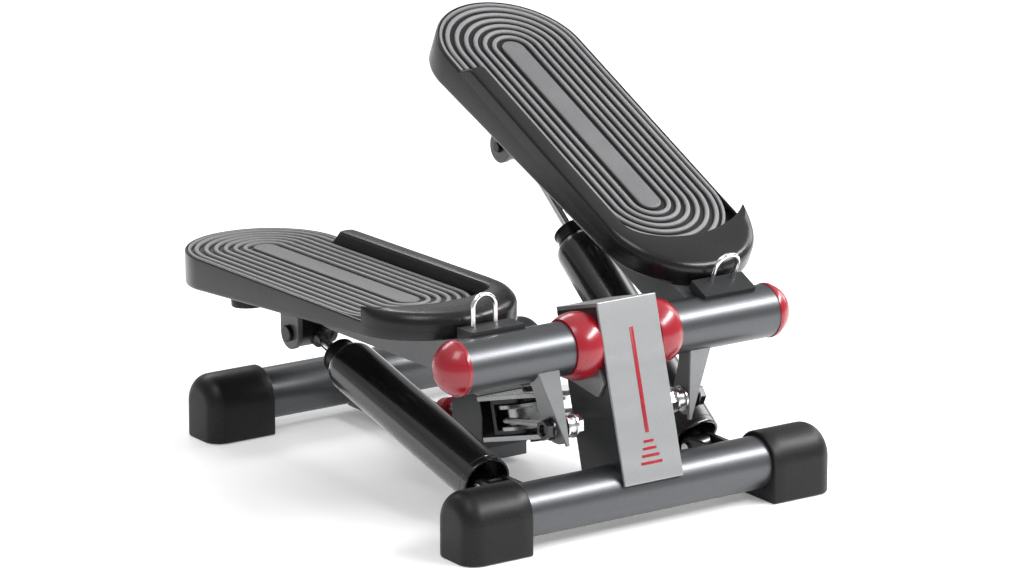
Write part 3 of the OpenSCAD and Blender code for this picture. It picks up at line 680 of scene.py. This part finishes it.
def mat_height(r):
    """Height of the mat's surface at a distance from its middle line, and how raised it is, which sets the
    mat's painted groove shade.
    """
    top, low = TOP + 0.15, TOP - 2.35
    if r < CENTRE_R:
        edge = CENTRE_R - r
        flat = top - 0.4
        raised = 0.55 * min(1.0, edge)
        if edge > 1.0:
            return flat + 0.4 * min(1.0, edge / 3.0), raised
        return low + (flat - low) * math.sin(edge * math.pi / 2), raised
    for i in range(RIDGES):
        out = RIDGE_OUT - i * RIDGE_PITCH
        if out - RIDGE_W <= r <= out:
            t = abs((r - (out - RIDGE_W / 2)) / (RIDGE_W / 2))
            h = max(0.0, 1 - t ** 3.2)
            return low + (top - low) * h ** 0.55, h ** 0.5
    if r > MARGIN_R:
        e = min(1.0, (r - MARGIN_R) / 0.7)
        return low + (top - 0.35 - low) * e, e
    return low, 0.0


def mat_samples():
    """Distances from the middle line, close together where the surface bends."""
    samples = [0.0, 3.0, 6.0, 7.6, 8.2, 8.6, 8.9, 9.2, 9.45, CENTRE_R, 10.4]
    for i in range(RIDGES):
        out = RIDGE_OUT - i * RIDGE_PITCH
        samples += [out - RIDGE_W - 1.0, out + 1.0]
        samples += [out - RIDGE_W + RIDGE_W * k / 12 for k in range(13)]
    samples += [MARGIN_R, 54.3, 54.7, 55.4, 56.7]
    return sorted(set(round(x, 3) for x in samples))


def mat_stations():
    """Places on the middle line, each with the direction of its cross-section, once round the mat."""
    stations = []
    for i in range(49):
        a = math.pi * i / 48
        stations.append((TAIL, (math.cos(a), math.sin(a))))
    left_side = [TAIL - (TAIL - RIDGE_FRONT) * i / 24 for i in range(1, 24)]
    left_side += [286.4, 285.6, 285.2, 284.8, 284.2]  # close together at the inner wall's end
    stations += [(s, (-1.0, 0.0)) for s in sorted(left_side, reverse=True)]
    for i in range(65):
        a = math.pi + math.pi * i / 64
        stations.append((RIDGE_FRONT, (math.cos(a), math.sin(a))))
    stations += [(RIDGE_FRONT + (TAIL - RIDGE_FRONT) * i / 12, (1.0, 0.0)) for i in range(1, 12)]
    return stations


def to_circle(s, d, centre, radius):
    """Distance from the middle line at s, in direction d, to a circle round another place on that line."""
    p = s - centre
    along = p * d[1]
    return -along + math.sqrt(max(0.0, along * along - (p * p - radius ** 2)))


def mat_limit(s, d):
    """Distance from the middle line at s, in direction d, to the mat's edge."""
    r = MAT_R
    for centre, ahead in ((TAIL, 1), (TOE, -1)):
        t = to_circle(s, d, centre, MAT_R)
        if t > 0 and (s + t * d[1] - centre) * ahead > 0:
            r = min(r, t)
    if d[0] < -1e-6:
        t = MAT_WALL / -d[0]
        if s + t * d[1] < MAT_WALL_END:
            r = min(r, t)
    if s == RIDGE_FRONT and d[1] < 0:
        r = min(r, to_circle(s, d, LIP_CENTRE, LIP_R))
    return r


def build_mat(side):
    b = Build()
    samples = mat_samples()
    rings = []
    for s, d in mat_stations():
        edge = mat_limit(s, d)
        first = len(b.v)
        for q in samples:
            r = min(q, edge)
            height, raised = mat_height(r)
            b.ring([pedal(side, d[0] * r, s + d[1] * r, height)], raised)
        b.ring([pedal(side, d[0] * edge, s + d[1] * edge, MAT_UNDER)], 0.0)
        rings.append(list(range(first, len(b.v))))
    for a, c in zip(rings, rings[1:] + rings[:1]):
        b.bridge(a, c, closed=False)
    b.cap([r[-1] for r in rings])
    make(f"{SIDE[side]}_ridged_mat", b, mat_rubber, f"{SIDE[side]}_pedal",
         [f"{SIDE[side]}_mat"], 50.0, relief_shade=True)


# ---------------------------------------------------------------- rubber feet


def build_foot(name, side, y, width):
    """Rubber cap on the end of a floor tube; width is the whole base's, over both caps."""
    length, half, crown = 52.8, 22.4, 25.6  # half its width, and the height where its round top starts
    corner, bottom_r = 13.0, 1.6
    tube_r = 19.05
    inner = width / 2 - length

    def section(x, inset):
        """Outline at x from the cap's mouth: flat bottom, upright sides and a round top."""
        w, top = half - inset, crown + half - inset * 1.05
        r = bottom_r
        turns = [math.pi * i / 40 for i in range(41)]
        heights = [r + (crown - r) * i / 4 for i in range(1, 4)]
        pts = [(w - r, 0.0), (w - 0.45 * r, 0.12 * r), (w - 0.12 * r, 0.45 * r), (w, r)]
        pts += [(w, z) for z in heights]
        pts += [(w * math.cos(a), crown + (top - crown) * math.sin(a)) for a in turns]
        pts += [(-w, z) for z in reversed(heights)]
        pts += [(-w, r), (-w + 0.12 * r, 0.45 * r), (-w + 0.45 * r, 0.12 * r), (-w + r, 0.0)]
        return [world(side * (inner + x), y + p, z) for p, z in pts]

    n = len(section(0.0, 0.0))

    def tube_section(x, r):
        pts = []
        for i in range(n):
            a = -math.pi / 2 + 2 * math.pi * (i + 0.5) / n
            pts.append(world(side * (inner + x), y + r * math.cos(a), tube_z + r * math.sin(a)))
        return pts

    b = Build()
    rings = [tube_section(6.0, tube_r), tube_section(0.6, tube_r), tube_section(0.1, tube_r + 0.55)]
    rings += [section(0.0, 1.2), section(0.35, 0.45), section(1.2, 0.0)]
    rings += [section(x, 0.0) for x in (10.0, 20.0, 30.0, length - corner)]
    for i in range(1, 15):
        a = math.pi / 2 * i / 14
        rings.append(section(length - corner + corner * math.sin(a), corner * (1 - math.cos(a)) * 0.92))
    ids = b.loft(rings, caps=False)
    b.cap(ids[-1][::-1])
    make(f"{name}_cap", b, foot_rubber, "frame", [name], 40.0)


# ---------------------------------------------------------------- damper barrels


BARREL_TILT = {-1: math.radians(14.09202), 1: math.radians(37.61788)}  # at rest


def build_barrel(side):
    """Damper barrel, with the eye and stem at its lower end; profile distances are from the lower pin."""
    tilt = BARREL_TILT[side]
    pin = world(side * 88.6, front_y + 48.1, 27.7)
    axis = Vector((0.0, math.cos(tilt), math.sin(tilt)))
    start, shoulder, radius = 7.5, 181.5, 19.0
    groove = [(12.2, radius), (12.5, 18.75), (13.0, 18.75), (13.3, radius)]
    turns = [math.radians(a) for a in (0, 12, 24, 36, 48, 60, 72, 82)]
    prof = [(24.5, 0.05), (24.5, 16.6), (start + 0.6, 16.9), (start + 0.15, 17.2), (start, 17.8),
            (start + 0.1, 18.5), (start + 0.6, 18.9), (start + 1.4, radius), (start + 1.6, radius)]
    prof += groove
    prof += [(d, radius) for d in (40, 90, 140, 170)]
    prof += [(shoulder + 9.0 * math.sin(a), 15.0 + 4.0 * math.cos(a)) for a in turns]
    prof += [(191.2, 15.2), (191.6, 14.6), (191.9, 13.8), (191.9, 12.6), (186, 12.6)]
    b = Build()
    lathe(b, pin, axis, prof, 96)
    across = Vector((1.0, 0.0, 0.0))
    eye = [(0.8, 4.05), (0, 4.8), (0, 7.4), (0.3, 7.85), (0.9, 8.0), (12.1, 8.0),
           (12.7, 7.85), (13, 7.4), (13, 4.8), (12.2, 4.05), (0.8, 4.05)]
    lathe(b, pin - across * 6.5 * mm, across, eye, 64)
    stem = [(6.2, 6.0), (14, 6.0), (21, 6.6), (23.4, 8.2), (24.6, 10.5)]
    lathe(b, pin, axis, stem, 48)
    make(f"{SIDE[side]}_damper_barrel", b, enamel, f"{SIDE[side]}_cylinder",
         [f"{SIDE[side]}_barrel"], 38.0)


# ---------------------------------------------------------------- wire rope


ROPE_R = 1.95
PULLEY_BACK, PULLEY_UP = 136.0, 52.4  # the pulley's middle, in the column's own frame
WRAP_R, ROPE_LEVEL = 21.5, -2.5  # of the rope's middle line round the pulley
WRAP = math.radians(12.0)  # where a run leaves the pulley


def rope_tube(b, path):
    """Twisted-strand rope along a path of points; pitch is the length of one full twist."""
    strands, pitch = 6, 15.0
    n = strands * 5
    up = Vector((0, 0, 1))
    total = 0.0
    rings = []
    for i, p in enumerate(path):
        if i:
            total += (p - path[i - 1]).length
        t = (path[min(i + 1, len(path) - 1)] - path[max(i - 1, 0)]).normalized()
        u = t.cross(up).normalized()
        w = u.cross(t)
        twist = 2 * math.pi * total / (pitch * mm)
        pts = []
        for k in range(n):
            a = 2 * math.pi * k / n
            r = ROPE_R * (0.86 + 0.14 * abs(math.cos(strands * a / 2)) ** 0.7)
            pts.append(p + (u * math.cos(a + twist) + w * math.sin(a + twist)) * r * mm)
        rings.append(pts)
    b.loft(rings)


def straight(a, c):
    """Points about 1 mm apart on a straight line."""
    n = max(2, int((c - a).length / mm))
    return [a + (c - a) * (i / n) for i in range(n + 1)]


def round_pulley(a):
    """Point of the rope's middle line at an angle round the pulley; 0 is the machine's right."""
    return column(WRAP_R * math.cos(a), PULLEY_BACK + WRAP_R * math.sin(a), PULLEY_UP + ROPE_LEVEL)


def rope_bolt(side, x):
    """Middle of the bolt on a lever, at x from the machine's middle."""
    reach, a = 52.9, math.radians(23.8)
    return pedal(side, x - PEDAL_X, -reach * math.sin(a), -reach * math.cos(a))


def build_rope(side):
    """One straight run, from the pulley to the eye, with the pressed sleeve next to the eye."""
    b = Build()
    start = round_pulley(WRAP if side > 0 else math.pi - WRAP)
    end = rope_bolt(side, 54.75)
    d = (end - start).normalized()
    rope_tube(b, straight(start + d * 0.3 * mm, end - d * 6.6 * mm))
    sleeve = [(0, 1.8), (0, 3.0), (0.6, 3.4), (3, 3.4), (3.4, 3.0), (5.2, 3.0), (5.6, 3.4),
              (10.4, 3.4), (11, 3.0), (11.6, 2.4), (12.4, 2.4)]
    lathe(b, end - d * 19 * mm, d, sleeve, 32)
    o = make(f"{SIDE[side]}_rope_run", b, wire, None, [f"{SIDE[side]}_rope"],
             60.0, 0.000001)
    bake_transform(o)


def build_wrap():
    """The rope's half turn round the pulley."""
    b = Build()
    n = 74
    rope_tube(b, [round_pulley(WRAP + (math.pi - 2 * WRAP) * i / n) for i in range(n + 1)])
    make("rope_half_turn", b, wire, "pulley_carriage", ["rope_wrap"], 60.0, 0.000001)


# ---------------------------------------------------------------- face plate decoration


def build_stripes():
    """Plain red line and short bars on the face plate: a generic trim with no lettering."""
    b = Build()
    r = 0.7

    def slab(half, z0, z1):
        corners = ((half - r, z1 - r, 0), (r - half, z1 - r, 90),
                   (r - half, z0 + r, 180), (half - r, z0 + r, 270))
        rings = []
        for back, inset in ((0.02, 0.0), (-0.16, 0.0), (-0.22, 0.12)):
            outline = []
            for cx, cz, turn in corners:
                outline += [column(x, back, z) for x, z in arc(cx, cz, r - inset, turn, turn + 90, 5)]
            rings.append(outline)
        b.loft(rings)

    slab(1.6, 34.0, 108.0)
    for k in range(4):
        z = 12.0 + k * 5.0
        slab(9.0 - k * 1.6, z, z + 2.2)
    make("plate_trim", b, red, "frame", (), 40.0, 0.000001)


# ---------------------------------------------------------------- lips of the inner collars, and gussets


def build_collar_lip(side):
    """Raised lip and groove round a collar's wide end, next to the pivot tube."""
    lo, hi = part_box(f"{SIDE[side]}_inner_collar")
    end = max(abs(lo[0]), abs(hi[0])) / mm
    b = Build()
    lathe(b, world(0, axle_y, axle_z), (side, 0, 0), [
        (end - 4.2, 17.0), (end - 4.2, 21.2), (end - 3.7, 21.7), (end - 2.6, 21.8), (end - 2.1, 21.4),
        (end - 1.9, 20.4), (end - 1.5, 20.2), (end - 1.2, 20.6), (end - 0.5, 20.5), (end - 0.05, 20.0),
        (end - 0.05, 17.0), (end - 4.2, 17.0)], 96)
    make(f"{SIDE[side]}_collar_lip", b, red, "frame", (), 30.0)


def build_gusset(side):
    """Pointed steel tab on the column's side, under the collar; its outline is in y and z."""
    outline = [(-130.0, 97.0), (-169.5, 91.2), (-171.2, 91.6), (-177.6, 102.2), (-177.4, 103.8),
               (-171.0, 113.0), (-140.0, 113.0), (-131.0, 98.2)]
    x0, x1, edge = 23.0, 25.6, 0.4
    mid_y = sum(y for y, z in outline) / len(outline)
    mid_z = sum(z for y, z in outline) / len(outline)
    rings = []
    for x, inset in ((x0, 0.0), (x1 - edge, 0.0), (x1, edge)):
        ring = []
        for y, z in outline:
            k = 1.0 - inset / math.dist((y, z), (mid_y, mid_z))
            ring.append(world(side * x, mid_y + (y - mid_y) * k, mid_z + (z - mid_z) * k))
        rings.append(ring)
    b = Build()
    b.loft(rings)
    make(f"{SIDE[side]}_gusset", b, lever_paint, "frame", (), 30.0)


for side in SIDE:
    build_collar_lip(side)
    build_gusset(side)
    build_tray(side)
    build_mat(side)
    build_barrel(side)
    build_rope(side)
build_wrap()
build_stripes()
for end, foot_y, base_width in (("front", front_y, 310.6), ("rear", rear_y, 299.2)):
    for side in SIDE:
        build_foot(f"{end}_{SIDE[side]}_foot", side, foot_y, base_width)

# ---------------------------------------------------------------- materials of the CAD nodes

LOOK = {
    "front_floor_tube": tube_paint, "rear_floor_tube": tube_paint, "column": frame_paint,
    "column_face_plate": plate_metal, "column_top_cap": plate_metal, "crossbar_axle": zinc,
    "left_inner_collar": red, "right_inner_collar": red, "centre_plates": stack_steel,
    "adjuster_block": frame_paint, "rear_beam": tube_paint, "left_cylinder_bracket": frame_paint,
    "right_cylinder_bracket": frame_paint, "cylinder_pins": zinc, "pulley_fork": dark_bolt,
    "rope_pulley": stack_steel, "adjuster_knob": knob_finish,
}
for side, s in SIDE.items():
    LOOK.update({
        f"{s}_pivot_tube": tube_paint, f"{s}_end_cap": red, f"{s}_bushes": bush_nylon,
        f"{s}_rope_arm": lever_paint, f"{s}_rope_bolt": rope_bolt_metal, f"{s}_pedal_arm": arm_paint,
        f"{s}_bumper": pad_rubber, f"{s}_band_ring": ring_material(side), f"{s}_clevis": arm_paint,
        f"{s}_clevis_pin": dark_bolt, f"{s}_tray_screws": zinc, f"{s}_gland": nylon,
        f"{s}_rod": chrome, f"{s}_rod_eye": enamel,
    })
# Width in mm of the rounded edges that a node gets.
SOFT_EDGE = {
    "column": 1.2, "column_face_plate": 0.7, "column_top_cap": 0.5, "centre_plates": 0.5,
    "adjuster_block": 0.9, "rear_beam": 0.8, "pulley_fork": 0.6,
}
for s in SIDE.values():
    SOFT_EDGE.update({
        f"{s}_cylinder_bracket": 0.5, f"{s}_rope_arm": 0.5, f"{s}_pedal_arm": 0.6, f"{s}_clevis": 0.5,
        f"{s}_bumper": 1.2, f"{s}_clevis_pin": 0.8, f"{s}_rod_eye": 0.8, f"{s}_rope_bolt": 0.4,
        f"{s}_tray_screws": 0.6, f"{s}_band_ring": 0.4, f"{s}_gland": 0.5, f"{s}_end_cap": 0.5,
    })


def soften(node, width):
    """Rounds a CAD node's edges with modifiers, after joining its triangles into flat faces."""
    weld = node.modifiers.new("merge", "WELD")
    weld.merge_threshold = 0.00002
    flat = node.modifiers.new("flat", "DECIMATE")
    flat.decimate_type = "DISSOLVE"
    flat.angle_limit = math.radians(0.6)
    edges = node.modifiers.new("edges", "BEVEL")
    edges.width = width * mm
    edges.segments = 3
    edges.limit_method = "ANGLE"
    edges.angle_limit = math.radians(38.0)
    edges.harden_normals = False
    edges.use_clamp_overlap = True


for name, look in LOOK.items():
    node = nodes[name]
    if not node.material_slots:
        node.data.materials.append(look)
    for place in node.material_slots:
        place.material = look
    if name in SOFT_EDGE:
        soften(node, SOFT_EDGE[name])

# ---------------------------------------------------------------- studio

FLOOR_HALF, FLOOR_Z = 6.0, -0.0004
floor_finish, _, floor_shader = new_material("studio_floor")
floor_shader.inputs["Base Color"].default_value = (0.9, 0.9, 0.902, 1.0)
floor_shader.inputs["Emission Color"].default_value = (1.0, 1.0, 1.0, 1.0)
floor_shader.inputs["Emission Strength"].default_value = 0.2
floor_shader.inputs["Roughness"].default_value = 0.55
floor_mesh = bpy.data.meshes.new("studio_floor")
floor_corners = [(x * FLOOR_HALF, y * FLOOR_HALF, FLOOR_Z) for x, y in ((-1, -1), (1, -1), (1, 1), (-1, 1))]
floor_mesh.from_pydata(floor_corners, [], [(0, 1, 2, 3)])
floor = bpy.data.objects.new("studio_floor", floor_mesh)
bpy.context.scene.collection.objects.link(floor)
floor_mesh.materials.append(floor_finish)

# The world is a gradient by height: a light band above the horizon, darker over it, bright overhead.
studio = bpy.data.worlds.new("studio")
bpy.context.scene.world = studio
studio.use_nodes = True
sky = studio.node_tree
background = sky.nodes.get("Background")
sky_height = sky.nodes.new("ShaderNodeSeparateXYZ")
sky.links.new(sky.nodes.new("ShaderNodeTexCoord").outputs["Generated"], sky_height.inputs[0])
sky_stops = [(0.0, grey(0.3)), (0.12, grey(0.55)), (0.35, grey(0.32)), (0.9, grey(0.8))]
shade = ramp(sky, sky_height.outputs[2], sky_stops)
sky.links.new(shade, background.inputs[0])
background.inputs[1].default_value = 1.0


def area(name, at, look_at, size, power, size_y):
    """Rectangular lamp; lengths in metres, power in watts."""
    lamp = bpy.data.lights.new(name, "AREA")
    lamp.shape = "RECTANGLE"
    lamp.size = size
    lamp.size_y = size_y
    lamp.energy = power
    o = bpy.data.objects.new(name, lamp)
    bpy.context.scene.collection.objects.link(o)
    o.location = at
    o.rotation_mode = "QUATERNION"
    o.rotation_quaternion = (Vector(look_at) - Vector(at)).to_track_quat("-Z", "Y")


area("band", (0.85, -0.8, 1.05), (0, 0, 0.08), 1.7, 34.0, 0.24)
area("key", (-0.9, -0.5, 1.8), (0, 0, 0.1), 0.7, 12.0, 1.0)
area("side", (1.5, 0.2, 0.7), (0, 0, 0.1), 0.5, 5.0, 0.9)
area("back", (0.2, 1.6, 1.3), (0, 0, 0.15), 1.4, 12.0, 0.5)

# The camera stands where the photo's was solved to be, and looks along the solved direction.
CAMERA_AT = (-1.98416, -2.93071, 1.08756)
CAMERA_BACK = Vector((-0.5445, -0.7968, 0.2618))
cam_data = bpy.data.cameras.new("camera")
cam_data.sensor_width = 36.0
cam_data.lens = 180.6
cam_data.clip_start = 0.05
cam_data.clip_end = 60.0
cam = bpy.data.objects.new("camera", cam_data)
bpy.context.scene.collection.objects.link(cam)
cam.location = CAMERA_AT
cam.rotation_mode = "QUATERNION"
cam.rotation_quaternion = (-CAMERA_BACK).to_track_quat("-Z", "Y")
bpy.context.scene.camera = cam
bpy.context.scene.view_settings.view_transform = "Standard"
